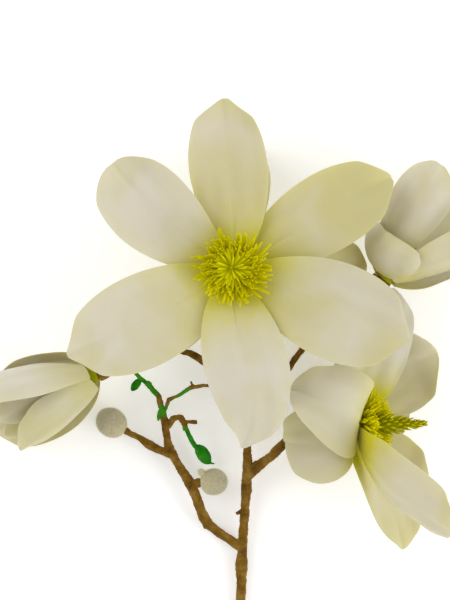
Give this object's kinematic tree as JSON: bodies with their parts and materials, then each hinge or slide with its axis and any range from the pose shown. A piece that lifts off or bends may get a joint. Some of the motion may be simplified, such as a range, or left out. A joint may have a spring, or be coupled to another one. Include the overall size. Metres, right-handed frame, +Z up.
{
  "type": "magnolia branch",
  "caption": "Cut flowering branch laid flat: an open pale bloom facing up, more blooms on side twigs, silver furry buds and small green growth on a woody stem.",
  "frame": {"origin": "middle of the bounding box at the surface the branch lies on", "axes": "+Z up, away from the surface and the way the open bloom faces; +Y along the branch from its cut end towards the open bloom; +X towards the half-open bloom beside it"},
  "size_m": [0.2572, 0.283, 0.0974],
  "materials": {
    "bark": "matt olive-brown bark with pale lit ridges, leaf scars and a green stretch on the thin twig",
    "petal": "matt velvety off-white, warm yellow-green at the base, fine veins along the blade, faintly translucent",
    "stamen": "matt yellow-green filaments with paler tips",
    "pistil": "matt olive-green scaly cone",
    "silver_fur": "short silvery fur over an olive-brown bud",
    "green_shoot": "satin fresh green shoot"
  },
  "bodies": {
    "root": {"open_bloom_pistil": "pistil", "open_bloom_stamens": "stamen", "open_bloom_petal_back_right": "petal", "open_bloom_petal_back_upper": "petal", "open_bloom_petal_back_lower": "petal", "open_bloom_petal_right_upper": "petal", "open_bloom_petal_top": "petal", "open_bloom_petal_left_upper": "petal", "open_bloom_petal_left_lower": "petal", "open_bloom_petal_right_lower": "petal", "open_bloom_petal_bottom": "petal", "right_bloom_pistil": "pistil", "right_bloom_stamens": "stamen", "right_bloom_petal_under": "petal", "right_bloom_petal_low": "petal", "right_bloom_petal_far_low": "petal", "right_bloom_petal_far_side": "petal", "right_bloom_petal_near_side": "petal", "right_bloom_petal_folded_low": "petal", "right_bloom_petal_folded_top": "petal", "right_bloom_petal_long_near": "petal", "left_bloom_pistil": "pistil", "left_bloom_stamens": "stamen", "left_bloom_petal_under": "petal", "left_bloom_petal_upper_back": "petal", "left_bloom_petal_lower_side": "petal", "left_bloom_petal_top": "petal", "left_bloom_petal_low_side": "petal", "left_bloom_petal_inner": "petal", "upper_bloom_pistil": "pistil", "upper_bloom_stamens": "stamen", "upper_bloom_petal_under": "petal", "upper_bloom_petal_short_outer": "petal", "upper_bloom_petal_right_side": "petal", "upper_bloom_petal_left_side": "petal", "upper_bloom_petal_top": "petal", "upper_bloom_petal_low_side": "petal", "woody_branch": "bark", "silver_bud_upper": "silver_fur", "silver_bud_lower": "silver_fur", "leaf_bud": "green_shoot", "green_shoot": "green_shoot"}
  },
  "joints": []
}
